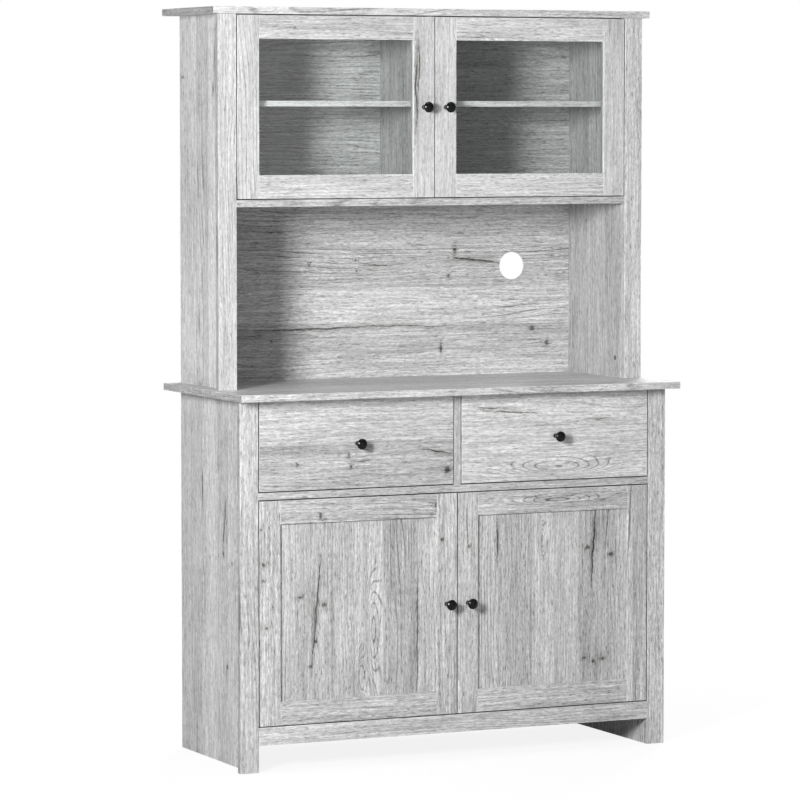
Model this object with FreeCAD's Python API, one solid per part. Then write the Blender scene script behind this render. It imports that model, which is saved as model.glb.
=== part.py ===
import FreeCAD, Part
import math
import os

Vector = FreeCAD.Vector

# Kitchen buffet with hutch, in millimetres: +Z up, front towards -Y.
# The origin is on the floor, under the middle of the whole piece.

# Overall sizes
overall_width = 1041.4
overall_depth = 438.15
overall_height = 1612.9

# Boards
board = 15.0
back_board = 4.0
shelf_board = 12.0
edge_bevel = 0.5

# Base cabinet
base_side_height = 787.4
floor_clearance = 57.15
apron_height = 38.0
base_door_height = 477.0
base_shelf_share = 0.4876

# Counter and top board
counter_front_overhang = 44.0
side_overhang = 13.7
top_front_overhang = 10.0

# Hutch
hutch_depth = 281.0
niche_height = 387.35
hutch_shelf_share = 0.5036
cable_hole_radius = 31.0
cable_hole_height = 243.0
cable_hole_offset = 320.0

# Front frame and the gaps round doors and drawer fronts
stile_width = 42.0
reveal = 2.5
meeting_gap = 2.5

# Back panels, held in grooves of the sides
back_inset = 10.0
back_groove = 5.0
groove_slack = 0.3
back_side_slack = 0.5

# Adjustable shelves
shelf_setback = 14.0
shelf_side_gap = 0.8
shelf_back_gap = 1.0
pin_front_offset = 35.0
pin_back_offset = 50.0
pin_radius = 2.5
pin_depth = 9.0
pin_tip_gap = 0.5
pin_head_radius = 4.0
pin_head_length = 8.0
pin_hole_spacing = 32.0
pin_hole_slack = 0.1

# Doors
door_thickness = 15.0
base_door_stile = 48.0
hutch_door_stile = 50.0
door_rail = 50.0
panel_thickness = 4.0
panel_recess = 6.0
panel_tongue = 6.0
panel_slack = 0.3
panel_edge_slack = 0.5
glass_thickness = 3.0
glass_recess = 7.0
glass_rebate = 8.0
glass_edge_slack = 1.0

# Drawers
drawer_side_board = 12.0
drawer_bottom_board = 4.0
drawer_side_share = 0.717
drawer_end_gap = 15.15
drawer_floor_gap = 14.0
drawer_bottom_rise = 8.0
drawer_bottom_groove = 5.0
drawer_bottom_slack = 0.2
drawer_back_drop = 10.0
runner_gap = 5.0
rail_height = 16.0
rail_front_gap = 6.0
rail_end_gap = 9.0
rail_groove_depth = 6.0
rail_tip_gap = 0.5
rail_slack = 0.3
rail_place_share = 0.5
rail_screw_distance = 60.0
rail_screw_stagger = 5.0

# Knobs
knob_radius = 11.6
knob_stem_radius = 5.4
knob_neck_radius = 5.0
knob_projection = 31.0
knob_neck_at = 5.0
knob_crown_height = 3.5
knob_rim_thickness = 4.0
knob_rim_roll = 2.0
knob_roll_share = 0.125
knob_flare_hollow = 0.3
knob_screw_radius = 2.0
knob_screw_bite = 9.0
knob_screw_head_radius = 4.0
knob_screw_head = 2.4
knob_screw_slack = 0.15

# Concealed single-joint cup hinges
hinge_end_distance = 75.0
cup_radius = 17.5
cup_depth = 11.0
cup_wall = 0.8
cup_edge_distance = 4.0
cup_slack = 0.1
cup_plate_thickness = 1.2
cup_plate_half_height = 31.0
cup_plate_half_width = 12.0
cup_screw_spacing = 48.0
hinge_pin_inset = 16.0
hinge_pin_depth = 7.6
hinge_pin_radius = 1.25
hinge_knuckle_radius = 2.6
hinge_pin_slack = 0.1
arm_thickness = 2.0
arm_width = 14.0
arm_reach = 19.0
arm_rise = 13.4
arm_return = 21.4
arm_bend = 3.5
arm_exit_inset = 16.0
arm_exit_rise = 8.2
arm_length = 86.0
hinge_plate_thickness = 3.0
hinge_plate_start = 46.0
hinge_plate_end = 80.0
hinge_plate_width = 16.0
hinge_wing_half = 22.0
hinge_wing_width = 13.0
hinge_wing_screw = 16.0

# Screws
screw_radius = 1.75
screw_head_radius = 3.4
screw_head = 2.2
screw_bite = 7.0
screw_slack = 0.1

# Cam fittings and dowels
cam_radius = 6.0
cam_depth = 11.0
cam_slack = 0.1
cam_bolt_radius = 2.6
cam_bolt_bite = 9.0
cam_setback = 27.0
cam_end_distance = 43.0
cam_top_distance = 43.0
cam_board_setback = 30.0
cam_front_offset = 50.0
cam_back_offset = 70.0
dowel_radius = 4.0
dowel_half_length = 9.0
dowel_slack = 0.1
dowel_offset = 24.0
apron_dowel_share = 0.5
apron_dowel_spread = 300.0

# Places worked out from the sizes above
rear = overall_depth / 2
counter_front = -overall_depth / 2
base_front = counter_front + counter_front_overhang
hutch_front = rear - hutch_depth
top_front = hutch_front - top_front_overhang
stile_outer = overall_width / 2 - side_overhang
opening = stile_outer - stile_width
side_outer = opening + board
back_front = rear - back_inset - back_board
divider_half = board / 2

apron_top = floor_clearance + apron_height
base_door_bottom = apron_top + reveal
base_door_top = base_door_bottom + base_door_height
deck_bottom = base_door_top + reveal
deck_top = deck_bottom + board
counter_bottom = base_side_height
counter_top = counter_bottom + board
niche_top = counter_top + niche_height
hutch_floor = niche_top + board
top_bottom = overall_height - board
hutch_door_bottom = hutch_floor + reveal
hutch_door_top = top_bottom - reveal

door_edge = opening - reveal
door_inner = meeting_gap / 2

base_shelf_bottom = apron_top + (deck_bottom - apron_top) * base_shelf_share
hutch_shelf_bottom = hutch_floor + (top_bottom - hutch_floor) * hutch_shelf_share

drawer_side_height = (counter_bottom - deck_top) * drawer_side_share
drawer_length = back_front - base_front - door_thickness - drawer_end_gap
rail_length = drawer_length - rail_front_gap - rail_end_gap
rail_bite = rail_groove_depth - rail_tip_gap
divider_pin_depth = divider_half - pin_tip_gap
knob_rim_at = knob_projection - knob_crown_height - knob_rim_thickness

nodes = {}
bores = {}


# Shape helpers
def block(x, y, z):
    """A box between two limits along each axis, given in any order."""
    low = Vector(min(x), min(y), min(z))
    return Part.makeBox(max(x) - low.x, max(y) - low.y, max(z) - low.z, low)


def panel(x, y, z):
    """A board with every edge slightly bevelled."""
    shape = block(x, y, z)
    return shape.makeChamfer(edge_bevel, shape.Edges)


def rod(radius, start, end):
    """A cylinder from one point to another."""
    way = end - start
    return Part.makeCylinder(radius, way.Length, start, way)


def add(name, *solids):
    """Put solids into a node."""
    nodes.setdefault(name, []).extend(solids)


def bore(name, *tools):
    """Note shapes that are cut out of a node when it is finished."""
    bores.setdefault(name, []).extend(tools)


def side_name(side):
    """The word for a side: the viewer's left is -X."""
    return "left" if side < 0 else "right"


# Carcass boards
def add_sides(prefix, front, bottom, top):
    """Side boards behind the front frame, with a groove for the back panel."""
    for side in (-1, 1):
        name = prefix + "_side_" + side_name(side)
        add(name, panel((side * opening, side * side_outer), (front + board, rear), (bottom, top)))
        groove = ((back_front - groove_slack / 2), (rear - back_inset + groove_slack / 2))
        bore(name, block((side * opening, side * (opening + back_groove)), groove, (bottom, top)))
        stile = prefix + "_stile_" + side_name(side)
        add(stile, panel((side * opening, side * stile_outer), (front, front + board), (bottom, top)))


def add_base_carcass():
    """The boards of the lower cabinet."""
    add_sides("base", base_front, 0, base_side_height)
    across = (-opening, opening)
    add("base_apron", panel(across, (base_front, base_front + board), (floor_clearance, apron_top)))
    add("base_bottom", panel(across, (base_front + board, back_front), (apron_top - board, apron_top)))
    add("base_deck", panel(across, (base_front, back_front), (deck_bottom, deck_top)))
    middle = (-divider_half, divider_half)
    add("base_divider", panel(middle, (base_front + board, back_front), (apron_top, deck_bottom)))
    add("drawer_divider", panel(middle, (base_front, back_front), (deck_top, counter_bottom)))
    half = opening + back_groove - back_side_slack
    add("base_back", block((-half, half), (back_front, back_front + back_board),
                           (apron_top - board, counter_bottom)))
    half = overall_width / 2
    add("countertop", panel((-half, half), (counter_front, rear), (counter_bottom, counter_top)))


def add_hutch_carcass():
    """The boards of the hutch, with the cable hole in its back."""
    add_sides("hutch", hutch_front, counter_top, top_bottom)
    across = (-opening, opening)
    add("hutch_board", panel(across, (hutch_front, back_front), (niche_top, hutch_floor)))
    middle = (-divider_half, divider_half)
    add("hutch_divider", panel(middle, (hutch_front + board, back_front), (hutch_floor, top_bottom)))
    half = opening + back_groove - back_side_slack
    add("hutch_back", block((-half, half), (back_front, back_front + back_board), (counter_top, top_bottom)))
    hole_z = counter_top + cable_hole_height
    bore("hutch_back", rod(cable_hole_radius, Vector(cable_hole_offset, back_front - back_board, hole_z),
                           Vector(cable_hole_offset, rear, hole_z)))
    half = overall_width / 2
    add("hutch_top", panel((-half, half), (top_front, rear), (top_bottom, overall_height)))


# Shelves on pins
def shelf_pin(wall, way, depth, y, top):
    """A pin in a wall: a round shank, and a head whose top is flat for the shelf."""
    centre = top - pin_radius
    shank = rod(pin_radius, Vector(wall - way * depth, y, centre), Vector(wall, y, centre))
    head = rod(pin_head_radius, Vector(wall, y, centre), Vector(wall + way * pin_head_length, y, centre))
    above = block((wall, wall + way * pin_head_length), (y - pin_head_radius, y + pin_head_radius),
                  (top, top + pin_head_radius))
    return shank.fuse(head.cut(above)).removeSplitter()


def add_shelves(prefix, front, underside, divider):
    """A shelf on each side of the divider, on four pins, with a spare row of holes above and below."""
    shelf_front = front + board + shelf_setback
    for side in (-1, 1):
        x = (side * (divider_half + shelf_side_gap), side * (opening - shelf_side_gap))
        y = (shelf_front, back_front - shelf_back_gap)
        add(prefix + "_shelves", panel(x, y, (underside, underside + shelf_board)))
        walls = ((prefix + "_side_" + side_name(side), side * opening, -side, pin_depth),
                 (divider, side * divider_half, side, divider_pin_depth))
        for name, wall, way, depth in walls:
            for pin_y in (shelf_front + pin_front_offset, back_front - pin_back_offset):
                add("shelf_pins", shelf_pin(wall, way, depth, pin_y, underside))
                for step in (-1, 0, 1):
                    z = underside - pin_radius + step * pin_hole_spacing
                    bore(name, rod(pin_radius + pin_hole_slack, Vector(wall - way * depth, pin_y, z),
                                   Vector(wall + way * pin_hole_slack, pin_y, z)))


# Hinges
def hinge_point(side, front, inset, behind, z):
    """A point given from the hinged front edge of a door: inwards, and behind its face."""
    return Vector(side * (door_edge - inset), front + behind, z)


def strip(points, thickness, width, z):
    """A bent metal strip of one thickness that follows points in plan."""
    low = z - width / 2
    rise = Vector(0, 0, width)
    pieces = []
    for start, end in zip(points, points[1:]):
        a = Vector(start.x, start.y, low)
        b = Vector(end.x, end.y, low)
        across = (b - a).cross(Vector(0, 0, 1)).normalize() * (thickness / 2)
        outline = Part.makePolygon([a + across, b + across, b - across, a - across, a + across])
        pieces.append(Part.Face(outline).extrude(rise))
        pieces.append(rod(thickness / 2, b, b + rise))
    return pieces[0].multiFuse(pieces[1:])


def add_hinge(side, front, z, door, stile, wall):
    """One hinge: cup, pin and cup screws on the door, arm and plate on the side board."""
    def at(inset, behind, height=z):
        return hinge_point(side, front, inset, behind, height)

    # Cup in the back of the door, with its plate on the door's back face
    middle = cup_edge_distance + cup_radius
    outer = rod(cup_radius - cup_slack, at(middle, door_thickness - cup_depth), at(middle, door_thickness))
    plate_x = (at(middle - cup_plate_half_width, 0).x, at(middle + cup_plate_half_width, 0).x)
    plate_y = (front + door_thickness, front + door_thickness + cup_plate_thickness)
    plate = block(plate_x, plate_y, (z - cup_plate_half_height, z + cup_plate_half_height))
    hollow = rod(cup_radius - cup_slack - cup_wall, at(middle, door_thickness - cup_depth + cup_wall),
                 at(middle, door_thickness + cup_plate_thickness))
    chord = math.sqrt((cup_radius - cup_slack - cup_wall / 2) ** 2 - (middle - hinge_pin_inset) ** 2)
    pin_ends = [at(hinge_pin_inset, hinge_pin_depth, z + step * chord) for step in (-1, 1)]
    pin = rod(hinge_pin_radius, *pin_ends)
    cup = outer.fuse(plate).cut(hollow).cut(rod(hinge_pin_radius + hinge_pin_slack / 2, *pin_ends))
    bore(stile, rod(cup_radius, at(middle, door_thickness - cup_depth), at(middle, door_thickness + cup_wall)))
    for step in (-1, 1):
        height = z + step * cup_screw_spacing / 2
        tip = at(middle, door_thickness - screw_bite, height)
        seat = at(middle, door_thickness + cup_plate_thickness, height)
        cup = cup.cut(rod(screw_radius + screw_slack, tip, seat))
        bore(stile, rod(screw_radius + screw_slack, tip, seat))
        head = rod(screw_head_radius, seat, seat + Vector(0, screw_head, 0))
        add("hinge_cups_" + door, rod(screw_radius, tip, seat).fuse(head).removeSplitter())
    add("hinge_cups_" + door, cup, pin)

    # Arm: out of the cup, round the door's edge and back along the side board
    bar = hinge_plate_thickness - reveal + arm_thickness / 2
    path = [at(hinge_pin_inset, hinge_pin_depth),
            at(hinge_pin_inset + arm_exit_inset, hinge_pin_depth + arm_exit_rise),
            at(hinge_pin_inset + arm_reach, hinge_pin_depth + arm_rise - arm_thickness / 2),
            at(hinge_pin_inset + arm_reach, hinge_pin_depth + arm_return - arm_bend),
            at(hinge_pin_inset + arm_reach - arm_bend, hinge_pin_depth + arm_return),
            at(bar + arm_bend, hinge_pin_depth + arm_return),
            at(bar, hinge_pin_depth + arm_return + arm_bend),
            at(bar, arm_length)]
    arm = strip(path, arm_thickness, arm_width, z)
    eye_low = at(hinge_pin_inset, hinge_pin_depth, z - arm_width / 2)
    eye_high = at(hinge_pin_inset, hinge_pin_depth, z + arm_width / 2)
    eye = rod(hinge_knuckle_radius, eye_low, eye_high)
    hole = rod(hinge_pin_radius + hinge_pin_slack, eye_low, eye_high)
    add("hinge_arms", arm.fuse(eye).cut(hole).removeSplitter())

    # Plate on the side board, with a wing above and below for its screws
    face = -reveal
    plate_x = (at(face, 0).x, at(face + hinge_plate_thickness, 0).x)
    bed = block(plate_x, (front + hinge_plate_start, front + hinge_plate_end),
                (z - hinge_plate_width / 2, z + hinge_plate_width / 2))
    middle = (hinge_plate_start + hinge_plate_end) / 2
    wing = block(plate_x, (front + middle - hinge_wing_width / 2, front + middle + hinge_wing_width / 2),
                 (z - hinge_wing_half, z + hinge_wing_half))
    plate = bed.fuse(wing).removeSplitter()
    for step in (-1, 1):
        height = z + step * hinge_wing_screw
        seat = at(face + hinge_plate_thickness, middle, height)
        tip = at(face - screw_bite, middle, height)
        plate = plate.cut(rod(screw_radius + screw_slack, tip, seat))
        add_screw(seat, tip, wall)
    add("hinge_arms", plate)


def add_screw(seat, tip, wall):
    """A screw with a round head on its seat, and its pilot hole in a board."""
    out = (seat - tip).normalize()
    head = rod(screw_head_radius, seat, seat + out * screw_head)
    add("screws", rod(screw_radius, tip, seat).fuse(head).removeSplitter())
    bore(wall, rod(screw_radius + screw_slack, tip, seat))


# Knobs
def knob(centre):
    """A black cone-shaped knob that stands on a front face, and the screw that holds it."""
    def rim(radius, out):
        return Vector(centre.x + radius, centre.y - out, centre.z)

    def curve(start, middle, end):
        return Part.Arc(rim(*start), rim(*middle), rim(*end)).toShape()

    bore_radius = knob_screw_radius + knob_screw_slack
    foot = (knob_stem_radius, 0)
    neck = (knob_neck_radius, knob_neck_at)
    flare = ((knob_neck_radius + knob_radius) / 2 - knob_flare_hollow, (knob_neck_at + knob_rim_at) / 2)
    widest = (knob_radius, knob_rim_at)
    rim_end = knob_projection - knob_crown_height
    shoulder = (knob_radius - knob_rim_roll, rim_end)
    rolled = (knob_radius - knob_rim_roll * knob_roll_share, knob_rim_at + knob_rim_thickness / 2)
    dome_radius = (shoulder[0] ** 2 + knob_crown_height ** 2) / (2 * knob_crown_height)
    crown_drop = dome_radius - math.sqrt(dome_radius ** 2 - (shoulder[0] / 2) ** 2)
    crown = (shoulder[0] / 2, knob_projection - crown_drop)
    tip = (0, knob_projection)
    edges = [
        Part.makeLine(rim(bore_radius, 0), rim(*foot)),
        Part.makeLine(rim(*foot), rim(*neck)),
        curve(neck, flare, widest),
        curve(widest, rolled, shoulder),
        curve(shoulder, crown, tip),
        Part.makeLine(rim(*tip), rim(0, knob_screw_bite)),
        Part.makeLine(rim(0, knob_screw_bite), rim(bore_radius, knob_screw_bite)),
        Part.makeLine(rim(bore_radius, knob_screw_bite), rim(bore_radius, 0)),
    ]
    body = Part.Face(Part.Wire(edges)).revolve(centre, Vector(0, -1, 0), 360)
    bite = centre - Vector(0, knob_screw_bite, 0)
    back = centre + Vector(0, door_thickness, 0)
    head = rod(knob_screw_head_radius, back, back + Vector(0, knob_screw_head, 0))
    screw = rod(knob_screw_radius, bite, back).fuse(head).removeSplitter()
    return body, screw, rod(bore_radius, centre, back)


def add_knob(name, board_name, x, front, z):
    """A knob in its node, and its screw hole through the board that carries it."""
    body, screw, hole = knob(Vector(x, front, z))
    add("knob_" + name, body, screw)
    bore(board_name, hole)


# Doors
def door_members(name, side, front, bottom, top, stile):
    """The two full-height stiles and the two rails between them."""
    y = (front, front + door_thickness)
    inner_edge = door_inner + stile
    outer_edge = door_edge - stile
    add(name + "_stiles", panel((side * outer_edge, side * door_edge), y, (bottom, top)))
    add(name + "_stiles", panel((side * door_inner, side * inner_edge), y, (bottom, top)))
    add(name + "_rails", panel((side * inner_edge, side * outer_edge), y, (bottom, bottom + door_rail)))
    add(name + "_rails", panel((side * inner_edge, side * outer_edge), y, (top - door_rail, top)))
    return inner_edge, outer_edge


def add_base_door(side):
    """A framed door with a recessed panel held in a groove all round."""
    name = "base_door_" + side_name(side)
    inner, outer = door_members(name, side, base_front, base_door_bottom, base_door_top, base_door_stile)
    low = base_door_bottom + door_rail
    high = base_door_top - door_rail
    reach = panel_tongue - panel_edge_slack
    y = base_front + panel_recess
    add(name + "_panel", block((side * (inner - reach), side * (outer + reach)), (y, y + panel_thickness),
                               (low - reach, high + reach)))
    groove = block((side * (inner - panel_tongue), side * (outer + panel_tongue)),
                   (y - panel_slack / 2, y + panel_thickness + panel_slack / 2),
                   (low - panel_tongue, high + panel_tongue))
    bore(name + "_stiles", groove)
    bore(name + "_rails", groove)
    finish_door(name, "base_" + side_name(side), side, base_front, base_door_bottom, base_door_top,
                base_door_stile, "base_side_" + side_name(side))


def add_hutch_door(side):
    """A framed door with a pane in a rebate, held by a strip along each edge."""
    name = "hutch_door_" + side_name(side)
    inner, outer = door_members(name, side, hutch_front, hutch_door_bottom, hutch_door_top, hutch_door_stile)
    low = hutch_door_bottom + door_rail - glass_rebate
    high = hutch_door_top - door_rail + glass_rebate
    inner -= glass_rebate
    outer += glass_rebate
    shoulder = hutch_front + glass_recess
    back = hutch_front + door_thickness
    rebate = block((side * inner, side * outer), (shoulder, back), (low, high))
    bore(name + "_stiles", rebate)
    bore(name + "_rails", rebate)
    slack = glass_edge_slack
    add(name + "_glass", block((side * (inner + slack), side * (outer - slack)),
                               (shoulder, shoulder + glass_thickness), (low + slack, high - slack)))
    y = (shoulder + glass_thickness, back)
    between = (side * (inner + glass_rebate), side * (outer - glass_rebate))
    strips = [block((side * inner, side * (inner + glass_rebate)), y, (low, high)),
              block((side * (outer - glass_rebate), side * outer), y, (low, high)),
              block(between, y, (low, low + glass_rebate)),
              block(between, y, (high - glass_rebate, high))]
    add(name + "_glazing_strips", *strips)
    finish_door(name, "hutch_" + side_name(side), side, hutch_front, hutch_door_bottom, hutch_door_top,
                hutch_door_stile, "hutch_side_" + side_name(side))


def finish_door(name, door, side, front, bottom, top, stile, wall):
    """The hinges of a door, and the knob on its meeting stile."""
    for z in (bottom + hinge_end_distance, top - hinge_end_distance):
        add_hinge(side, front, z, door, name + "_stiles", wall)
    add_knob(door, name + "_stiles", side * (door_inner + stile / 2), front, (bottom + top) / 2)


# Drawers
def add_drawer(side):
    """A drawer: slab front, two grooved sides, back and bottom, and its two rails."""
    name = "drawer_" + side_name(side)
    inner = divider_half + reveal
    front_z = (deck_top + reveal, counter_bottom - reveal)
    front_y = (base_front, base_front + door_thickness)
    add(name + "_front", panel((side * inner, side * door_edge), front_y, front_z))
    add_knob(name, name + "_front", side * (inner + door_edge) / 2, base_front, sum(front_z) / 2)

    # Box
    low = deck_top + drawer_floor_gap
    high = low + drawer_side_height
    start = base_front + door_thickness
    end = start + drawer_length
    floor = low + drawer_bottom_rise
    box_inner = divider_half + runner_gap
    box_outer = opening - runner_gap
    rail_low = low + drawer_side_height * rail_place_share
    slot_z = (rail_low - rail_slack, rail_low + rail_height + rail_slack)
    bottom_z = (floor - drawer_bottom_slack, floor + drawer_bottom_board + drawer_bottom_slack)
    side_wall = "base_side_" + side_name(side)
    for outside, way, wall in ((box_inner, 1, "drawer_divider"), (box_outer, -1, side_wall)):
        inside = outside + way * drawer_side_board
        plate = block((side * outside, side * inside), (start, end), (low, high))
        slot = block((side * outside, side * (outside + way * rail_groove_depth)), (start, end), slot_z)
        groove = block((side * inside, side * (inside - way * drawer_bottom_groove)), (start, end), bottom_z)
        add(name + "_sides", plate.cut(slot).cut(groove))

        # Rail on the cabinet wall, which runs in the groove of the drawer side
        wall_x = outside - way * runner_gap
        rail_tip = side * (outside + way * rail_bite)
        rail_start = start + rail_front_gap
        rail_end = rail_start + rail_length
        rail = panel((side * wall_x, rail_tip), (rail_start, rail_end), (rail_low, rail_low + rail_height))
        head_x = side * (wall_x + way * (runner_gap - screw_head))
        stagger = side * rail_screw_stagger
        for y in (rail_start + rail_screw_distance + stagger, rail_end - rail_screw_distance + stagger):
            z = rail_low + rail_height / 2
            seat = Vector(head_x, y, z)
            tip = Vector(side * (wall_x - way * screw_bite), y, z)
            add_screw(seat, tip, wall)
            rail = rail.cut(rod(screw_radius + screw_slack, Vector(side * wall_x, y, z), seat))
            rail = rail.cut(rod(screw_head_radius + screw_slack, seat, Vector(rail_tip, y, z)))
        add("drawer_rails", rail)
    reach = drawer_side_board - drawer_bottom_groove + drawer_bottom_slack
    add(name + "_bottom", block((side * (box_inner + reach), side * (box_outer - reach)), (start, end),
                                (floor, floor + drawer_bottom_board)))
    back_x = (side * (box_inner + drawer_side_board), side * (box_outer - drawer_side_board))
    back_z = (floor + drawer_bottom_board, high - drawer_back_drop)
    add(name + "_back", block(back_x, (end - drawer_side_board, end), back_z))


# Cam fittings and dowels
def cam_joint(carrier, other, edge, along, out, setback):
    """A cam in one board that pulls on a bolt in another.

    edge is the point where the bolt crosses the joint, in the middle of the board's
    thickness. along points from there into the board with the cam, which is set back
    from the joint. out points out of the face that shows the cam's flat.
    """
    middle = edge + along * setback
    surface = middle + out * (board / 2)
    flat = surface - out * cam_slack
    add("cam_locks", rod(cam_radius, flat - out * cam_depth, flat))
    bore(carrier, rod(cam_radius + cam_slack, flat - out * (cam_depth + cam_slack), surface + out * cam_slack))
    end = edge + along * (setback - cam_radius)
    tip = edge - along * cam_bolt_bite
    add("cam_bolts", rod(cam_bolt_radius, tip, end))
    bore(carrier, rod(cam_bolt_radius + cam_slack, edge - along * cam_slack, middle))
    bore(other, rod(cam_bolt_radius + cam_slack, tip, edge + along * cam_slack))


def dowel(first, second, centre, along):
    """A wooden dowel across the joint between two boards."""
    start = centre - along * dowel_half_length
    end = centre + along * dowel_half_length
    add("dowels", rod(dowel_radius, start, end))
    for name in (first, second):
        bore(name, rod(dowel_radius + dowel_slack, start, end))


def add_side_fittings(prefix, front, bottom, middle, top, lid):
    """Cams that hold the front stiles and the board above to each side board."""
    for side in (-1, 1):
        carrier = prefix + "_side_" + side_name(side)
        middle_x = side * (opening + board / 2)
        out = Vector(-side, 0, 0)
        for z in (bottom + cam_end_distance, middle, top - cam_top_distance):
            cam_joint(carrier, prefix + "_stile_" + side_name(side), Vector(middle_x, front + board, z),
                      Vector(0, 1, 0), out, cam_setback)
        for y in (front + board + cam_front_offset, rear - cam_back_offset):
            cam_joint(carrier, lid, Vector(middle_x, y, top), Vector(0, 0, -1), out, cam_setback)


def add_board_fittings(name, prefix, front, bottom):
    """Cams and a dowel at each end of a board that lies between the sides."""
    z = bottom + board / 2
    middle_y = (front + board + back_front) / 2
    for side in (-1, 1):
        other = prefix + "_side_" + side_name(side)
        for y in (front + board + cam_front_offset, rear - cam_back_offset):
            cam_joint(name, other, Vector(side * opening, y, z), Vector(-side, 0, 0), Vector(0, 0, -1),
                      cam_board_setback)
        dowel(name, other, Vector(side * opening, middle_y, z), Vector(1, 0, 0))


def add_divider_dowels(name, below, above, front, bottom, top):
    """Two dowels at the foot and two at the head of a divider."""
    for y in (front + board + cam_front_offset, rear - cam_back_offset):
        dowel(name, below, Vector(0, y, bottom), Vector(0, 0, 1))
        dowel(name, above, Vector(0, y, top), Vector(0, 0, 1))


def add_fittings():
    """Every hidden fitting that holds the boards together."""
    door_middle = (base_door_bottom + base_door_top) / 2
    add_side_fittings("base", base_front, 0, door_middle, base_side_height, "countertop")
    cupboard_cam = hutch_floor + cam_end_distance
    add_side_fittings("hutch", hutch_front, counter_top, cupboard_cam, top_bottom, "hutch_top")
    add_board_fittings("base_bottom", "base", base_front, apron_top - board)
    add_board_fittings("base_deck", "base", base_front, deck_bottom)
    add_board_fittings("hutch_board", "hutch", hutch_front, niche_top)
    add_divider_dowels("base_divider", "base_bottom", "base_deck", base_front, apron_top, deck_bottom)
    for y in (base_front + board + cam_front_offset + dowel_offset, rear - cam_back_offset - dowel_offset):
        dowel("drawer_divider", "base_deck", Vector(0, y, deck_top), Vector(0, 0, 1))
        dowel("drawer_divider", "countertop", Vector(0, y, counter_bottom), Vector(0, 0, 1))
    add_divider_dowels("hutch_divider", "hutch_board", "hutch_top", hutch_front, hutch_floor, top_bottom)
    apron_y = base_front + board / 2
    apron_z = floor_clearance + apron_height * apron_dowel_share
    for side in (-1, 1):
        apron_end = Vector(side * opening, apron_y, apron_z)
        dowel("base_apron", "base_stile_" + side_name(side), apron_end, Vector(1, 0, 0))
        for y in (hutch_front + board + cam_front_offset, rear - cam_back_offset):
            dowel("hutch_side_" + side_name(side), "countertop",
                  Vector(side * (opening + board / 2), y + dowel_offset, counter_top), Vector(0, 0, 1))
    for x in (-apron_dowel_spread, 0, apron_dowel_spread):
        joint = Vector(x, base_front + board, apron_top - board / 2)
        dowel("base_apron", "base_bottom", joint, Vector(0, 1, 0))


# The whole piece
def build():
    """Every node of the buffet and its hutch."""
    add_base_carcass()
    add_hutch_carcass()
    add_shelves("base", base_front, base_shelf_bottom, "base_divider")
    add_shelves("hutch", hutch_front, hutch_shelf_bottom, "hutch_divider")
    for side in (-1, 1):
        add_base_door(side)
        add_hutch_door(side)
        add_drawer(side)
    add_fittings()


def finished(name):
    """The solids of a node with every bore cut out of them."""
    solids = []
    tools = bores.get(name, [])
    for solid in nodes[name]:
        near = [tool for tool in tools if tool.BoundBox.intersect(solid.BoundBox)]
        if near:
            solid = solid.cut(near)
        solids.extend(solid.Solids)
    return solids


def export():
    """One STEP file for each node."""
    os.makedirs("parts", exist_ok=True)
    for name in nodes:
        solids = finished(name)
        shape = solids[0] if len(solids) == 1 else Part.makeCompound(solids)
        shape.exportStep("parts/" + name + ".step")
        print(name, len(solids), "solids, valid" if shape.isValid() else "solids, not valid")


build()
export()
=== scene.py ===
import bpy
import math
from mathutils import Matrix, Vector


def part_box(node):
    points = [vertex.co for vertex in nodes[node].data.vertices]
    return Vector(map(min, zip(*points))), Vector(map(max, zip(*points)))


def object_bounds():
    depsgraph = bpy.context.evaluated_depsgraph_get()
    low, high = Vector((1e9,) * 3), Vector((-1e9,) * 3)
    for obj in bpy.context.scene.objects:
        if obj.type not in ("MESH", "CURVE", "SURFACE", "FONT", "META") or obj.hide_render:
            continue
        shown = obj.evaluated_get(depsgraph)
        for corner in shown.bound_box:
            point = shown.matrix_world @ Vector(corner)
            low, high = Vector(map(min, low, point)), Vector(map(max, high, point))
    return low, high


# The looks of a kitchen buffet with hutch: materials for its CAD nodes, a stage, lamps and a camera
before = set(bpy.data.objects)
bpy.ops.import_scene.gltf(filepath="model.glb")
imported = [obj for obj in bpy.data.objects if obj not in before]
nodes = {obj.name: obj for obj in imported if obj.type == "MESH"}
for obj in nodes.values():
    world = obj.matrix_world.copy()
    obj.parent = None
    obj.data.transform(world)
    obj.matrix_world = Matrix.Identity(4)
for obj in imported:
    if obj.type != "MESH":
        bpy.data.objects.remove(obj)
cad_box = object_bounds()
middle = (cad_box[0] + cad_box[1]) / 2


# Shader trees
WHITE = (1.0, 1.0, 1.0, 1.0)
NOISE_MEAN = 0.5


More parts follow.
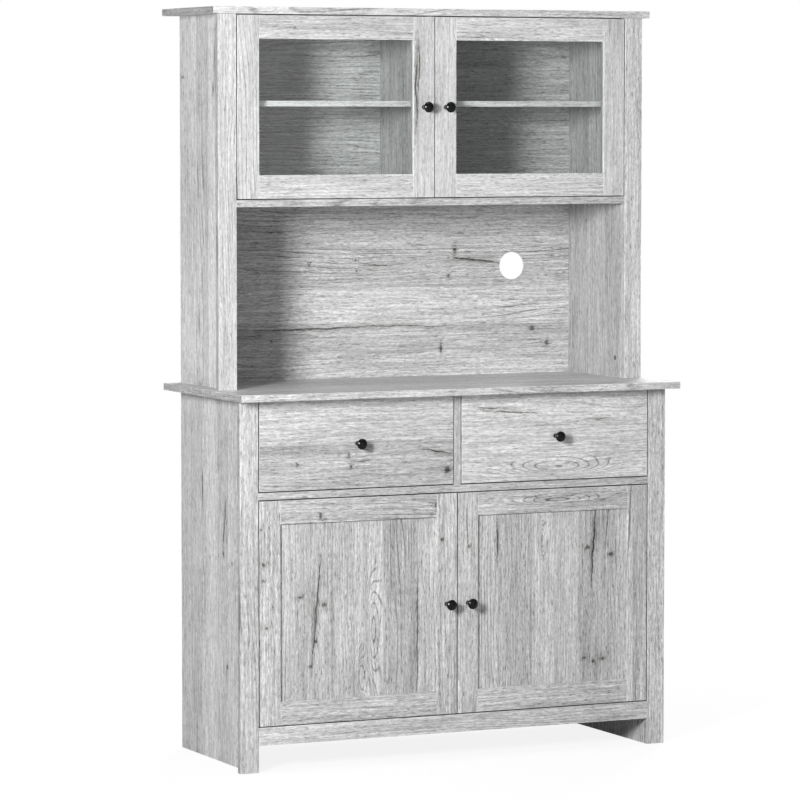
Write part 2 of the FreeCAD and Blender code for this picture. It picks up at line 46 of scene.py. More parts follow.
class Tree:
    """A material or world being built out of nodes."""

    def __init__(self, owner):
        owner.use_nodes = True
        self.tree = owner.node_tree
        self.tree.nodes.clear()

    def node(self, kind, inputs=(), **settings):
        """A node with its settings, and its inputs given by name or number as values or sockets."""
        made = self.tree.nodes.new(kind)
        for name, value in settings.items():
            setattr(made, name, value)
        for key, value in dict(inputs).items():
            if isinstance(value, bpy.types.NodeSocket):
                self.tree.links.new(value, made.inputs[key])
            else:
                made.inputs[key].default_value = value
        return made

    def math(self, operation, *values):
        return self.node("ShaderNodeMath", dict(enumerate(values)), operation=operation).outputs[0]

    def vector(self, operation, *values):
        made = self.node("ShaderNodeVectorMath", dict(enumerate(values)), operation=operation)
        return made.outputs["Value" if operation == "LENGTH" else "Vector"]

    def split(self, vector):
        return self.node("ShaderNodeSeparateXYZ", {0: vector}).outputs

    def join(self, x, y, z):
        return self.node("ShaderNodeCombineXYZ", {0: x, 1: y, 2: z}).outputs[0]

    def noise(self, where, scale, detail, roughness):
        """Noise about zero, from about -0.3 to 0.3."""
        inputs = {"Vector": where, "Scale": scale, "Detail": detail, "Roughness": roughness}
        return self.math("SUBTRACT", self.node("ShaderNodeTexNoise", inputs).outputs["Fac"], NOISE_MEAN)

    def step(self, value, start, end, low=0.0, high=1.0):
        """Goes smoothly from low to high while value goes from start to end."""
        inputs = {"Value": value, "From Min": start, "From Max": end, "To Min": low, "To Max": high}
        return self.node("ShaderNodeMapRange", inputs, interpolation_type="SMOOTHSTEP").outputs["Result"]

    def times(self, value, factor):
        """The product of two sockets or numbers."""
        return self.math("MULTIPLY", value, factor)

    def total(self, values):
        """The sum of several sockets or numbers."""
        result = values[0]
        for value in values[1:]:
            result = self.math("ADD", result, value)
        return result

    def weigh(self, layers, weights, factor=1.0):
        """The layers that have a weight, each times its weight and the factor."""
        return [self.times(layers[layer], weight * factor) for layer, weight in weights.items()]

    def bump(self, height, strength, distance):
        """The normal of a surface with this relief."""
        inputs = {"Height": height, "Strength": strength, "Distance": distance}
        return self.node("ShaderNodeBump", inputs).outputs["Normal"]

    def principled(self, **inputs):
        """A surface shader, with the words of its inputs' names joined by underscores."""
        named = {name.replace("_", " "): value for name, value in inputs.items()}
        return self.node("ShaderNodeBsdfPrincipled", named)

    def mix(self, share, first, second):
        """A shader that goes from the first to the second as the share goes from 0 to 1."""
        return self.node("ShaderNodeMixShader", {0: share, 1: first.outputs[0], 2: second.outputs[0]})

    def show(self, shader, output="ShaderNodeOutputMaterial"):
        """Joins a shader to the output."""
        self.node(output, {"Surface": shader.outputs[0]})


def new_material(name):
    """An empty material and its tree."""
    material = bpy.data.materials.new(name)
    return material, Tree(material)


# Grey oak laminate. Lengths are in metres.
AXES = "xyz"
ONES = (1.0, 1.0, 1.0)
# How much a face looks along an axis: where it starts to count, and where it counts in full
FACING = (0.6, 0.8)
# The same for a chamfer, which looks along no axis
CHAMFER = (0.92, 0.87)
# How wide the pale band along the edges is, partly wear and partly a painted highlight
WEAR_AND_HIGHLIGHT_WIDTH = 0.0022
# How deep the band of painted gap shade on the outer edges of a front is, and the axes, x and z, that those
# edges face
RIM_DEPTH = 0.0004
RIM_AXES = (0, 2)

# Noise in the print: its stretch along the grain, scale, detail and roughness
PLANK_WAVER = (0.3, 14.0, 2.0, 0.5)
CRACK_WAVER = (1.0, 9.0, 4.0, 0.55)
SEAM_PATCHES = (1.0, 5.0, 2.0, 0.5)
RING_WAVER = (0.13, 10.0, 2.0, 0.45)
RING_PATCHES = (0.25, 6.0, 2.0, 0.5)
KNOT_TEARS = (0.6, 210.0, 3.0, 0.6)
GRAIN = {"cloud": (0.07, 30.0, 3.0, 0.6), "streak": (0.035, 300.0, 2.0, 0.6),
         "grit": (0.2, 420.0, 3.0, 0.75), "pore": (0.11, 480.0, 2.0, 0.6), "fleck": (0.2, 460.0, 2.0, 0.6)}

# How far noise moves the planks and the cracks, how many rings it bends the rings by, and how much it tears
# the rims of knots and cracks
PLANK_SWAY = 0.006
CRACK_SWAY = 0.025
RING_SWAY = 13.0
KNOT_TEAR = 2.8
CRACK_TEAR = 1.6

# Planks: how far on along the grain the next one's print is taken, half the width over which its tone
# changes, and the dark seam between them
PLANK_TURN = 1.7
PLANK_BLEND = 0.0006
SEAM_WIDTH = 0.0022
SEAM_TONE = -0.07

# Year rings to the metre, half the way from one to the next, and how much of their bend the fibres follow
RINGS = 105.0
HALF_RING = 0.5
FIBRE_BEND = 0.2

# Steps: the values that they go from and to, and what they give there where that isn't 0 and 1. Those of
# knots, figures and cracks go by the distance from the middle of their oval, where 1 is its rim.
SEAM_SHOWS = (-0.12, 0.12, 0.25, 1.0)
RING_SHOWS = (0.0, 0.18)
RING_LINE = (0.15, 0.01)
KNOT_BEND = (3.5, 0.2, 0.0, 1.3)
KNOT_DARK = (1.35, 0.4, 0.0, 0.27)
KNOT_SHADE = (3.2, 0.9, 0.0, 0.08)
FIGURE_BEND = (1.3, 0.0, 0.0, 5.0)
FIGURE_SHOWS = (1.15, 0.9)
CRACK_DARK = (1.1, 0.3, 0.0, 0.32)
CRACK_SHADE = (1.0, 0.2, 0.0, 0.07)
PORE_SHOWS = (0.06, 0.15)
FLECK_SHOWS = (0.08, 0.2)
WEAR_AND_HIGHLIGHT_SHOWS = (-0.2, 0.15, 0.35, 1.0)
# How much wider and longer than a crack its shade is
SHADE_WIDER = 5.0
SHADE_LONGER = 1.1

# What the layers of the print add to its tone, relief and roughness
GRAIN_TONES = {"cloud": 0.18, "streak": 0.42, "grit": 0.5, "pore": -0.15, "fleck": 0.06, "line": -0.21}
# Dark knots and cracks, and pale edges that are partly wear and partly a painted highlight
MARK_TONES = {"dark": -1.0, "worn_and_highlit": 0.08}
HEIGHTS = {"grit": 0.8, "pore": -0.6, "line": -0.3, "dark": -1.5}
ROUGHENING = {"pore": 0.12, "cloud": 0.2}
LEAST_TONE = 0.06
DISPLAY_POWER = 2.2
# The green and the blue that dark marks lack
DARK_LACKS = (0.04, 0.2)
OAK_SPECULAR = 0.4
OAK_BUMP = (0.4, 0.0004)


class Print:
    """Where a point lies on the print of a board, across, along and through it."""

    def __init__(self, tree, along, across, coordinates):
        self.tree = tree
        self.along = along
        self.across = across
        through = next(axis for axis in AXES if axis not in (along, across))
        places = dict(zip(AXES, tree.split(coordinates["Object"])))
        facing = dict(zip(AXES, tree.split(coordinates["Normal"])))
        # On the ends of a board the print runs along the edge
        self.end = tree.step(tree.math("ABSOLUTE", facing[along]), *FACING)
        self.run = tree.step(self.end, 0.0, 1.0, places[along], places[across])
        self.side = tree.step(self.end, 0.0, 1.0, places[across], places[through])
        self.depth = tree.step(self.end, 0.0, 1.0, places[through], places[along])

    def noise(self, side, run, stretch, scale, detail, roughness):
        """Noise drawn out along the grain."""
        values = {self.across: side, self.along: self.tree.times(run, stretch)}
        where = self.tree.join(*(values.get(axis, self.depth) for axis in AXES))
        return self.tree.noise(where, scale, detail, roughness)

    def oval(self, side, centre_across, centre_along, half_across, half_along):
        """The distance from the middle of an oval, where 1 is its rim."""
        tree = self.tree
        off_side = tree.times(tree.math("SUBTRACT", side, centre_across), 1 / half_across)
        off_run = tree.times(tree.math("SUBTRACT", self.run, centre_along), 1 / half_along)
        return tree.vector("LENGTH", tree.join(off_side, off_run, 0.0))


def from_border(tree, coordinates, box):
    """How far a point is from the nearer end of a box along each axis."""
    where = coordinates["Object"]
    ends = [tree.vector("ABSOLUTE", tree.vector("SUBTRACT", where, corner)) for corner in box]
    return tree.vector("MINIMUM", *ends)


def rim(tree, coordinates, box):
    """1 on the edges all round a front that fills this box, which get painted shade for the gaps, and 0 on
    its face and inside it.
    """
    away = tree.split(from_border(tree, coordinates, box))
    facing = tree.split(tree.vector("ABSOLUTE", coordinates["Normal"]))
    edges = [tree.times(tree.step(away[axis], RIM_DEPTH, 0.0), tree.step(facing[axis], *FACING))
             for axis in RIM_AXES]
    return tree.math("MAXIMUM", *edges)


def edge_wear_and_highlight(tree, coordinates, boxes):
    """How near a point is to an edge of its face, and 1 on a chamfer, for boards that fill these boxes: where
    the pale edges go, partly wear and partly a painted highlight.
    """
    facing = tree.vector("ABSOLUTE", coordinates["Normal"])
    sides = tree.split(facing)
    flat = tree.math("MAXIMUM", sides[0], tree.math("MAXIMUM", sides[1], sides[2]))
    wear_and_highlight = tree.step(flat, *CHAMFER)
    within_face = tree.vector("SUBTRACT", ONES, facing)
    for box in boxes:
        away = tree.vector("MULTIPLY", from_border(tree, coordinates, box), (1 / WEAR_AND_HIGHLIGHT_WIDTH,) * 3)
        strips = tree.vector("MULTIPLY", tree.vector("SUBTRACT", ONES, away), within_face)
        for strip in tree.split(strips):
            wear_and_highlight = tree.math("MAXIMUM", wear_and_highlight, strip)
    return wear_and_highlight


def oak(name, along, across, boxes, tone, seed, contrast=1.0, planks=(), knots=(), cracks=(), figures=(),
        stains_and_shade=(), roughness=0.58, end_painted_shade=0.0, gap_painted_shade=0.0):
    """Grey oak laminate with its grain along one axis, for boards that fill these boxes.

    tone is how bright it shows, from 0 to 1. The change for the ends is added to it there as painted shade,
    and the change for the edges all round a front as painted shade in the gaps. planks are pairs of an edge
    across the grain and the change of tone beyond it.
    knots, cracks and figures are ovals: their middle across and along the grain, and half sizes. A crack has
    its lean across the grain put first. Figures are the nested oval lines of a board cut near the heart.
    The stain ovals have a change of tone last: most are stains in the print, and one is a painted shade.
    """
    material, tree = new_material(name)
    coordinates = tree.node("ShaderNodeTexCoord").outputs
    board = Print(tree, along, across, coordinates)

    # Planks that the print shows side by side, each with its own grain
    waver = board.noise(board.side, board.run, *PLANK_WAVER)
    place = tree.math("ADD", board.side, tree.times(waver, PLANK_SWAY))
    start = tree.math("ADD", board.run, seed)
    wander = tree.math("ADD", place, tree.times(board.noise(0.0, start, *CRACK_WAVER), CRACK_SWAY))
    # Painted shade: darker ends of the board, and darker outer edges of a front for the shade in the gaps
    painted_gap_shade_mask = rim(tree, coordinates, boxes[0])
    tones = [tone, tree.times(board.end, end_painted_shade), tree.times(painted_gap_shade_mask, gap_painted_shade)]
    patchy = tree.step(board.noise(board.side, start, *SEAM_PATCHES), *SEAM_SHOWS)
    for edge, change in planks:
        beyond = tree.step(place, edge - PLANK_BLEND, edge + PLANK_BLEND)
        start = tree.math("ADD", start, tree.times(beyond, PLANK_TURN))
        off_edge = tree.math("ABSOLUTE", tree.math("SUBTRACT", place, edge))
        seam = tree.step(off_edge, SEAM_WIDTH, 0.0, 0.0, SEAM_TONE)
        tones += [tree.times(beyond, change), tree.times(seam, patchy)]
    # Ovals of changed tone: stains in the print, and one painted shade
    for *marked_oval, change in stains_and_shade:
        tones.append(tree.step(board.oval(place, *marked_oval), 1.0, 0.0, 0.0, change))

    # Year rings, bent round the knots and figures
    bends = [tree.times(board.noise(board.side, start, *RING_WAVER), RING_SWAY)]
    uneven = tree.total([1.0, tree.times(board.noise(board.side, start, *KNOT_TEARS), KNOT_TEAR)])
    shown = tree.step(board.noise(board.side, start, *RING_PATCHES), *RING_SHOWS)
    dark = [0.0]
    for knot in knots:
        near = board.oval(place, *knot)
        bends.append(tree.step(near, *KNOT_BEND))
        torn = tree.times(near, uneven)
        dark += [tree.step(torn, *KNOT_DARK), tree.step(torn, *KNOT_SHADE)]
    for figure in figures:
        near = board.oval(place, *figure)
        bends.append(tree.step(near, *FIGURE_BEND))
        shown = tree.math("MAXIMUM", shown, tree.step(near, *FIGURE_SHOWS))
    bend = tree.total(bends)
    ring = tree.math("ADD", tree.times(place, RINGS), bend)
    line = tree.step(tree.math("PINGPONG", ring, HALF_RING), *RING_LINE)

    # Streaks, pores and flecks, which follow the rings in part, and cracks torn by the grit
    flow = tree.math("ADD", place, tree.times(bend, FIBRE_BEND / RINGS))
    layers = {layer: board.noise(flow, start, *noise) for layer, noise in GRAIN.items()}
    layers["pore"] = tree.step(layers["pore"], *PORE_SHOWS)
    layers["fleck"] = tree.step(layers["fleck"], *FLECK_SHOWS)
    layers["line"] = tree.times(line, shown)
    for lean, *crack in cracks:
        centre_across, centre_along, half_across, half_along = crack
        off_run = tree.math("SUBTRACT", board.run, centre_along)
        leant = tree.math("SUBTRACT", wander, tree.times(off_run, lean))
        torn = tree.math("ADD", board.oval(leant, *crack), tree.times(layers["grit"], CRACK_TEAR))
        near = board.oval(leant, centre_across, centre_along, half_across * SHADE_WIDER,
                          half_along * SHADE_LONGER)
        dark += [tree.step(torn, *CRACK_DARK), tree.step(near, *CRACK_SHADE)]
    layers["dark"] = tree.total(dark)
    # Pale edges and chamfers, in patches: partly wear and partly a painted highlight
    wear_and_highlight = edge_wear_and_highlight(tree, coordinates, boxes)
    layers["worn_and_highlit"] = tree.times(wear_and_highlight, tree.step(layers["cloud"], *WEAR_AND_HIGHLIGHT_SHOWS))
    tones += tree.weigh(layers, GRAIN_TONES, contrast) + tree.weigh(layers, MARK_TONES)

    shade = tree.math("POWER", tree.math("MAXIMUM", tree.total(tones), LEAST_TONE), DISPLAY_POWER)
    green, blue = (tree.times(shade, tree.math("SUBTRACT", 1.0, tree.times(layers["dark"], lack)))
                   for lack in DARK_LACKS)
    relief = tree.total(tree.weigh(layers, HEIGHTS))
    roughened = tree.total([roughness] + tree.weigh(layers, ROUGHENING))
    tree.show(tree.principled(Base_Color=tree.join(shade, green, blue), Roughness=roughened,
                              Specular_IOR_Level=OAK_SPECULAR, Normal=tree.bump(relief, *OAK_BUMP)))
    return material


# Plain surfaces: the detail and roughness of their fine and broad noise, how much coarser the broad one is,
# and what they do to the colour, roughness and relief
FINE_NOISE = (4.0, 0.6)
BROAD_NOISE = (2.0, 0.5)
BROADER = 12
COLOUR_CHANGE = 0.12
ROUGHNESS_CHANGE = 0.12
PLAIN_BUMP = (0.3, 0.0001)

# Glass: its index, its tint, and the noise of its smears and ripples with what they do
GLASS_IOR = 1.5
GLASS_TINT = (0.98, 0.99, 0.985, 1.0)
SMEAR_NOISE = (7.0, 3.0, 0.6)
SMEAR_ROUGHNESS = (-0.2, 0.3, 0.015, 0.05)
RIPPLE_NOISE = (4.0, 1.0, 0.5)
RIPPLE_BUMP = (0.04, 0.002)


def plain(name, colour, roughness, grain, metallic=0.0, specular=0.5, stretch=ONES):
    """A surface whose colour and roughness vary a little, with a fine relief."""
    material, tree = new_material(name)
    where = tree.vector("MULTIPLY", tree.node("ShaderNodeTexCoord").outputs["Object"], stretch)
    fine = tree.noise(where, grain, *FINE_NOISE)
    broad = tree.noise(where, grain / BROADER, *BROAD_NOISE)
    level = tree.total([1.0, tree.times(fine, COLOUR_CHANGE), tree.times(broad, COLOUR_CHANGE)])
    red, green, blue = (tree.times(level, part) for part in colour)
    roughened = tree.total([roughness, tree.times(fine, ROUGHNESS_CHANGE)])
    tree.show(tree.principled(Base_Color=tree.join(red, green, blue), Roughness=roughened, Metallic=metallic,
                              Specular_IOR_Level=specular, Normal=tree.bump(fine, *PLAIN_BUMP)))
    return material


def pane_glass():
    """Thin clear glass: it lets light through with a faint tint and mirrors more at a slant."""
    material, tree = new_material("pane_glass")
    where = tree.node("ShaderNodeTexCoord").outputs["Object"]
    ripple = tree.bump(tree.noise(where, *RIPPLE_NOISE), *RIPPLE_BUMP)
    smeared = tree.step(tree.noise(where, *SMEAR_NOISE), *SMEAR_ROUGHNESS)
    through = tree.node("ShaderNodeBsdfTransparent", {"Color": GLASS_TINT})
    mirrored = tree.principled(Base_Color=WHITE, Metallic=1.0, Normal=ripple, Roughness=smeared)
    # The pane's far face mirrors like its near one
    inside = tree.node("ShaderNodeNewGeometry").outputs["Backfacing"]
    index = tree.step(inside, 0.0, 1.0, GLASS_IOR, 1 / GLASS_IOR)
    slant = tree.node("ShaderNodeFresnel", {"IOR": index, "Normal": ripple}).outputs[0]
    tree.show(tree.mix(slant, through, mirrored))
    return material


# What the print of each oak board shows. Places across and along the grain are the frame's. The boards
# that look sideways, the sides and the hutch's divider, have tones set darker than the fronts' as painted
# shade.
BOARDS = {
    # Its tone is set darker than the fronts' as painted shade
    "base_side_left": dict(
        along="z", across="y", tone=0.735, seed=1.0, contrast=1.05,
        planks=((-0.045, -0.03), (0.01, 0.045), (0.101, -0.035), (0.16, 0.01)),
        cracks=((-0.165, -0.0275, 0.515, 0.003, 0.08), (0.0, 0.095, 0.58, 0.0015, 0.06)),
        knots=((-0.067, 0.434, 0.003, 0.003), (-0.04, 0.209, 0.004, 0.006), (-0.02, 0.45, 0.003, 0.004))),
    # Its tone is set darker than the fronts' as painted shade
    "base_side_right": dict(
        along="z", across="y", tone=0.72, seed=2.3, planks=((-0.05, 0.03), (0.06, -0.04)),
        cracks=((0.0, 0.02, 0.36, 0.003, 0.08),), knots=((0.05, 0.6, 0.003, 0.006),)),
    # Its tone is set darker than the fronts' as painted shade
    "hutch_side_left": dict(
        along="z", across="y", tone=0.765, seed=3.1, planks=((0.06, -0.035), (0.121, 0.04)),
        cracks=((0.0, 0.022, 1.5, 0.003, 0.085),), stains_and_shade=((0.05, 0.95, 0.25, 0.3, 0.05),),
        knots=((0.2, 1.466, 0.006, 0.002), (0.03, 1.44, 0.003, 0.009))),
    # Its tone is set darker than the fronts' as painted shade
    "hutch_side_right": dict(
        along="z", across="y", tone=0.68, seed=4.4, planks=((0.03, 0.04), (0.11, -0.04))),
    "hutch_back": dict(
        along="x", across="z", tone=0.805, seed=5.2, contrast=1.1,
        planks=((0.86, -0.04), (0.914, 0.06), (1.002, -0.065), (1.09, -0.005)),
        cracks=((-0.115, 1.059, 0.228, 0.003, 0.085), (0.0, 0.914, -0.1, 0.002, 0.37),
                (0.0, 1.05, -0.02, 0.0015, 0.06)),
        knots=((1.064, -0.067, 0.002, 0.003), (1.04, -0.065, 0.003, 0.002), (1.081, 0.177, 0.009, 0.004),
               (1.026, 0.162, 0.005, 0.004), (0.861, 0.143, 0.01, 0.003), (0.902, 0.371, 0.004, 0.006),
               (0.87, 0.409, 0.006, 0.005), (0.888, -0.271, 0.002, 0.002), (1.052, -0.18, 0.003, 0.003)),
        # The last oval is a painted shade inside the left glass door; the others are stains in the print
        stains_and_shade=((1.06, 0.21, 0.014, 0.1, -0.06), (0.9, 0.4, 0.018, 0.18, -0.07),
                (0.9, -0.25, 0.03, 0.35, -0.05), (1.47, -0.2, 0.07, 0.08, -0.09))),
    "base_back": dict(
        along="x", across="z", tone=0.78, seed=6.0, planks=((0.25, 0.03), (0.43, -0.04), (0.6, 0.03)),
        knots=((0.35, -0.1, 0.005, 0.006),)),
    # Its darker ends are painted shade
    "countertop": dict(
        along="x", across="y", tone=0.785, seed=7.7, roughness=0.4, contrast=1.1, end_painted_shade=-0.17,
        planks=((-0.13, 0.03), (-0.02, -0.04), (0.1, 0.03)), cracks=((0.0, -0.1, 0.2, 0.002, 0.12),)),
    # Its darker ends are painted shade
    "hutch_top": dict(
        along="x", across="y", tone=0.78, seed=8.5, roughness=0.72, end_painted_shade=-0.18,
        planks=((0.02, -0.03), (0.12, 0.03))),
    "hutch_board": dict(along="x", across="y", tone=0.74, seed=9.3),
    "base_deck": dict(along="x", across="y", tone=0.72, seed=10.1),
    "base_bottom": dict(along="x", across="y", tone=0.79, seed=11.9),
    "base_apron": dict(along="x", across="z", tone=0.775, seed=12.2, contrast=1.1),
    "base_divider": dict(along="z", across="y", tone=0.79, seed=13.6),
    "drawer_divider": dict(along="z", across="y", tone=0.72, seed=13.9),
    # Its tone is set darker than the fronts' as painted shade behind the glass
    "hutch_divider": dict(along="z", across="y", tone=0.655, seed=14.2),
    "base_shelves": dict(along="x", across="y", tone=0.84, seed=14.8, contrast=0.8),
    "hutch_shelves": dict(along="x", across="y", tone=0.84, seed=15.0, contrast=0.8),
    "base_stile_left": dict(along="z", across="x", tone=0.745, seed=15.3, contrast=1.05),
    "base_stile_right": dict(along="z", across="x", tone=0.77, seed=16.9, contrast=1.25),
    "hutch_stile_left": dict(along="z", across="x", tone=0.78, seed=17.5, contrast=0.85),
    "hutch_stile_right": dict(along="z", across="x", tone=0.825, seed=17.9, contrast=1.2),
    "base_door_left_stiles": dict(
        along="z", across="x", tone=0.745, seed=18.2, contrast=1.25,
        knots=((-0.037, 0.475, 0.004, 0.004), (-0.46, 0.515, 0.002, 0.002), (-0.454, 0.441, 0.004, 0.004),
               (-0.455, 0.407, 0.002, 0.003), (-0.447, 0.306, 0.003, 0.002))),
    "base_door_left_rails": dict(
        along="x", across="z", tone=0.715, seed=19.6, contrast=1.2,
        knots=((0.539, -0.322, 0.006, 0.004), (0.55, -0.051, 0.005, 0.004))),
    "base_door_left_panel": dict(
        along="z", across="x", tone=0.755, seed=20.4, contrast=1.1,
        planks=((-0.391, -0.03), (-0.291, 0.015), (-0.241, 0.03), (-0.173, -0.065), (-0.092, 0.06)),
        cracks=((0.113, -0.328, 0.35, 0.0022, 0.15), (0.03, -0.094, 0.28, 0.0018, 0.16)),
        knots=((-0.368, 0.367, 0.006, 0.003), (-0.311, 0.348, 0.006, 0.005), (-0.332, 0.271, 0.003, 0.004),
               (-0.344, 0.218, 0.0025, 0.0025)),
        figures=((-0.197, 0.3, 0.022, 0.13), (-0.228, 0.19, 0.018, 0.08)),
        stains_and_shade=((-0.334, 0.31, 0.012, 0.08, -0.09), (-0.104, 0.24, 0.012, 0.2, -0.05))),
    "base_door_right_stiles": dict(
        along="z", across="x", tone=0.755, seed=21.1, contrast=1.1, planks=((0.43, -0.03),),
        cracks=((-0.02, 0.022, 0.5, 0.0015, 0.06),), knots=((0.027, 0.458, 0.003, 0.005),)),
    "base_door_right_rails": dict(
        along="x", across="z", tone=0.745, seed=22.8, contrast=1.2, figures=((0.548, 0.245, 0.016, 0.12),)),
    "base_door_right_panel": dict(
        along="z", across="x", tone=0.78, seed=23.5, contrast=1.1,
        planks=((0.101, -0.07), (0.182, 0.065), (0.237, -0.015), (0.298, -0.055), (0.375, 0.05)),
        cracks=((0.068, 0.334, 0.44, 0.0028, 0.12), (0.0, 0.101, 0.47, 0.0022, 0.07)),
        knots=((0.319, 0.442, 0.006, 0.004), (0.377, 0.425, 0.005, 0.003), (0.311, 0.2, 0.004, 0.003),
               (0.333, 0.191, 0.003, 0.003), (0.356, 0.196, 0.004, 0.003)),
        figures=((0.207, 0.468, 0.014, 0.05),),
        stains_and_shade=((0.336, 0.48, 0.014, 0.09, -0.07), (0.345, 0.2, 0.05, 0.06, -0.06))),
    "drawer_left_front": dict(
        along="x", across="z", tone=0.70, seed=24.7, contrast=1.1, planks=((0.6915, 0.075),),
        cracks=((-0.155, 0.6655, -0.045, 0.0022, 0.05), (0.06, 0.6525, -0.22, 0.0013, 0.04)),
        knots=((0.663, -0.256, 0.0025, 0.003), (0.64, -0.251, 0.004, 0.003), (0.649, -0.374, 0.003, 0.004),
               (0.625, -0.024, 0.007, 0.006)),
        stains_and_shade=((0.678, -0.36, 0.022, 0.17, -0.06),)),
    "drawer_right_front": dict(
        along="x", across="z", tone=0.825, seed=25.9, contrast=1.1, planks=((0.651, -0.01),),
        cracks=((-0.12, 0.745, 0.13, 0.0022, 0.09), (-0.05, 0.758, 0.07, 0.0015, 0.05),
                (0.0, 0.723, 0.337, 0.0015, 0.035)),
        figures=((0.621, 0.25, 0.027, 0.14),), stains_and_shade=((0.66, 0.06, 0.012, 0.08, -0.04),)),
    "hutch_door_left_stiles": dict(
        along="z", across="x", tone=0.79, seed=26.3, contrast=0.8,
        cracks=((0.02, -0.045, 1.44, 0.0022, 0.13), (-0.02, -0.038, 1.5, 0.0018, 0.08)),
        stains_and_shade=((-0.044, 1.42, 0.01, 0.17, -0.08),)),
    "hutch_door_right_stiles": dict(along="z", across="x", tone=0.81, seed=26.8, contrast=0.8),
    "hutch_door_left_rails": dict(
        along="x", across="z", tone=0.775, seed=27.2, contrast=0.95, knots=((1.57, -0.33, 0.002, 0.002),)),
    "hutch_door_right_rails": dict(along="x", across="z", tone=0.815, seed=27.7),
    "drawer_left_sides": dict(along="y", across="z", tone=0.77, seed=28.4, contrast=0.5),
    "drawer_right_sides": dict(along="y", across="z", tone=0.77, seed=28.9, contrast=0.5),
    "drawer_left_bottom": dict(along="x", across="y", tone=0.77, seed=29.3, contrast=0.5),
    "drawer_right_bottom": dict(along="x", across="y", tone=0.77, seed=29.7, contrast=0.5),
    "drawer_left_back": dict(along="x", across="z", tone=0.77, seed=30.1, contrast=0.5),
    "drawer_right_back": dict(along="x", across="z", tone=0.77, seed=30.6, contrast=0.5),
}

# The nodes whose boxes give a piece the inner edges that its own box leaves out
INNER_EDGES = {"base_door_left_stiles": "base_door_left_rails",
               "base_door_right_stiles": "base_door_right_rails",
               "hutch_door_left_stiles": "hutch_door_left_rails",
               "hutch_door_right_stiles": "hutch_door_right_rails"}

# The ends of the names of nodes whose outer edges are darker than their face as painted shade for the gaps,
# and by how much
GAP_SHADED_NAME_ENDS = ("stile_left", "stile_right", "_stiles", "_rails", "_front")
GAP_PAINTED_SHADE = -0.12


def fittings():
    """The material and the starts of the nodes' names for everything that isn't oak."""
    return (
        (plain("knob_lacquer", (0.003, 0.003, 0.0033), 0.2, grain=900.0, specular=0.28), ("knob_",)),
        (plain("steel_plating", (0.62, 0.62, 0.61), 0.32, grain=700.0, metallic=1.0, stretch=(1.0, 1.0, 0.2)),
         ("hinge_", "screws", "cam_bolts", "shelf_pins")),
        (plain("cam_zinc", (0.22, 0.22, 0.22), 0.45, grain=600.0, metallic=0.8), ("cam_locks",)),
        (plain("rail_plastic", (0.72, 0.72, 0.70), 0.45, grain=400.0), ("drawer_rails",)),
        (plain("beech", (0.55, 0.36, 0.19), 0.6, grain=400.0, stretch=(0.2, 1.0, 1.0)), ("dowels",)),
        (plain("glazing_rubber", (0.33, 0.33, 0.325), 0.5, grain=500.0),
         ("hutch_door_left_glazing", "hutch_door_right_glazing")),
        (pane_glass(), ("hutch_door_left_glass", "hutch_door_right_glass")),
    )


def dress():
    """Gives every node of the frame its material."""
    others = fittings()
    for name, node in nodes.items():
        if name in BOARDS:
            boxes = [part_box(owner) for owner in (name, INNER_EDGES.get(name)) if owner]
            # The outer edges of doors, drawers and stiles get painted shade for the gaps
            gap_painted_shade = GAP_PAINTED_SHADE if name.endswith(GAP_SHADED_NAME_ENDS) else 0.0
            material = oak("oak_" + name, boxes=boxes, gap_painted_shade=gap_painted_shade, **BOARDS[name])
        else:
            material = next(made for made, starts in others if name.startswith(starts))
        node.data.materials.clear()
        node.data.materials.append(material)


# Stage: a pale floor that turns white further off, and white surroundings
FLOOR_HALF = 25.0
FLOOR_GREY = (0.5, 0.5, 0.5, 1.0)
# How far from the middle the floor starts to turn white, and is white
FLOOR_FADE = (1.2, 3.5)
# Before it turns, how much of what the camera sees is white instead of lit grey, and how bright that white is
FLOOR_NEAR_SHARE = 0.7
FLOOR_NEAR_WHITE = 1.24
# How bright the surroundings are for the light that they give, and for what a sheen, glass or metal mirrors
AMBIENT = 0.15
MIRRORED = 0.3


def add_object(name, data):
    """A new object in the scene."""
    made = bpy.data.objects.new(name, data)
    bpy.context.scene.collection.objects.link(made)
    return made


def seen(tree):
    """1 for the camera's rays, through glass too, less for those mirrored by a surface, and 0 for others."""
    path = tree.node("ShaderNodeLightPath").outputs
    straight = tree.math("MAXIMUM", path["Is Camera Ray"], path["Is Transmission Ray"])
    return tree.math("MAXIMUM", straight, tree.times(path["Is Glossy Ray"], MIRRORED))


def add_floor():
    """A plain floor that keeps a soft shadow and turns white further off."""
    corners = [(x, y, 0.0) for x, y in ((-FLOOR_HALF, -FLOOR_HALF), (FLOOR_HALF, -FLOOR_HALF),
                                        (FLOOR_HALF, FLOOR_HALF), (-FLOOR_HALF, FLOOR_HALF))]
    mesh = bpy.data.meshes.new("floor")
    mesh.from_pydata(corners, [], [(0, 1, 2, 3)])
    floor = add_object("floor", mesh)
    material, tree = new_material("floor")
    away = tree.vector("LENGTH", tree.node("ShaderNodeTexCoord").outputs["Object"])
    lit = tree.node("ShaderNodeBsdfDiffuse", {"Color": FLOOR_GREY})
    strength = tree.step(away, *FLOOR_FADE, FLOOR_NEAR_WHITE, 1.0)
    white = tree.node("ShaderNodeEmission", {"Color": WHITE, "Strength": strength})
    share = tree.times(seen(tree), tree.step(away, *FLOOR_FADE, FLOOR_NEAR_SHARE, 1.0))
    tree.show(tree.mix(share, lit, white))
    mesh.materials.append(material)


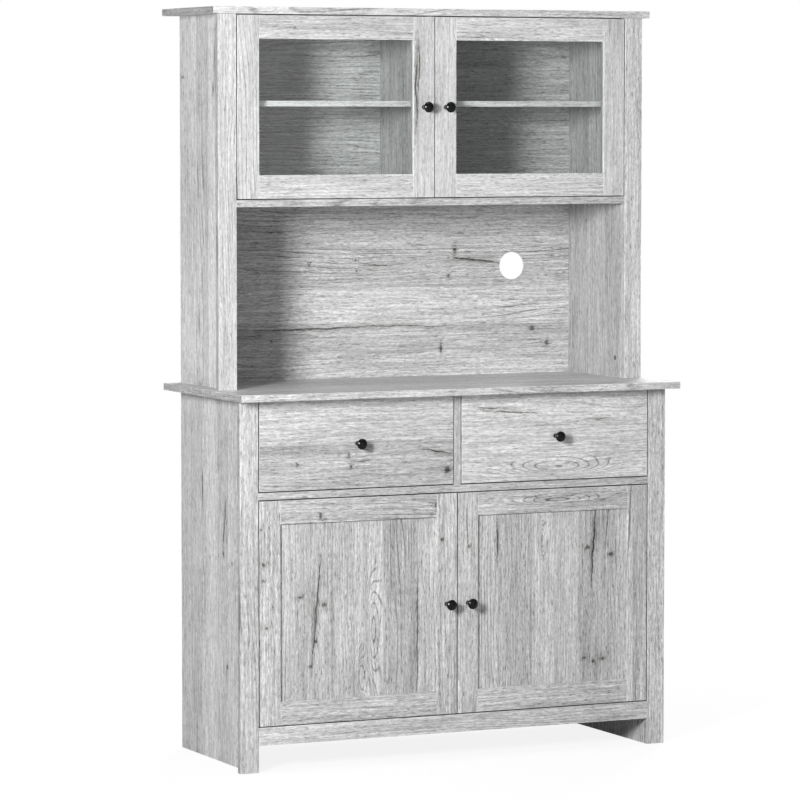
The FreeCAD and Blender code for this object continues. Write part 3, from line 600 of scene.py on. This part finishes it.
def add_world():
    """A white world."""
    world = bpy.data.worlds.new("world")
    bpy.context.scene.world = world
    tree = Tree(world)
    strength = tree.math("MAXIMUM", seen(tree), AMBIENT)
    sky = tree.node("ShaderNodeBackground", {"Color": WHITE, "Strength": strength})
    tree.show(sky, "ShaderNodeOutputWorld")


def add_lamp(name, azimuth, elevation, distance, width, height, level):
    """An area lamp aimed at the middle. level is how bright it lights a surface that faces it."""
    data = bpy.data.lights.new(name, "AREA")
    data.shape = "ELLIPSE"
    data.size = width
    data.size_y = height
    data.energy = level * math.pi ** 2 * distance ** 2
    lamp = add_object(name, data)
    turn = math.radians(azimuth)
    rise = math.radians(elevation)
    way = Vector((math.sin(turn) * math.cos(rise), -math.cos(turn) * math.cos(rise), math.sin(rise)))
    lamp.location = middle + way * distance
    lamp.rotation_euler = (-way).to_track_quat("-Z", "Y").to_euler()


# Camera: where the photograph's edges put it, with no shift
CAMERA_PLACE = (-3.768, -7.920, 1.381)
CAMERA_YAW = 0.43843
CAMERA_PITCH = -0.07027
CAMERA_REACH = 100.0
FRAME_PIXELS = 800
FOCAL_PIXELS = 4025.7


def add_camera():
    """The camera at the photograph's viewing angle."""
    data = bpy.data.cameras.new("camera")
    data.lens = data.sensor_width * FOCAL_PIXELS / FRAME_PIXELS
    data.clip_end = CAMERA_REACH
    camera = add_object("camera", data)
    camera.location = CAMERA_PLACE
    ahead = Vector((math.sin(CAMERA_YAW) * math.cos(CAMERA_PITCH),
                    math.cos(CAMERA_YAW) * math.cos(CAMERA_PITCH), math.sin(CAMERA_PITCH)))
    camera.rotation_euler = ahead.to_track_quat("-Z", "Y").to_euler()
    bpy.context.scene.camera = camera


dress()
add_floor()
add_world()
# A soft key from the left front, weak fills from the front and above, and a lamp behind for the back and top
add_lamp("key", azimuth=-48, elevation=12, distance=4.2, width=0.75, height=1.0, level=1.08)
add_lamp("fill", azimuth=8, elevation=12, distance=5.5, width=3.0, height=3.0, level=0.05)
add_lamp("top", azimuth=-10, elevation=75, distance=4.0, width=2.0, height=2.0, level=0.17)
add_lamp("back", azimuth=142, elevation=38, distance=5.0, width=2.5, height=2.5, level=0.8)
add_camera()
bpy.context.scene.view_settings.view_transform = "Standard"
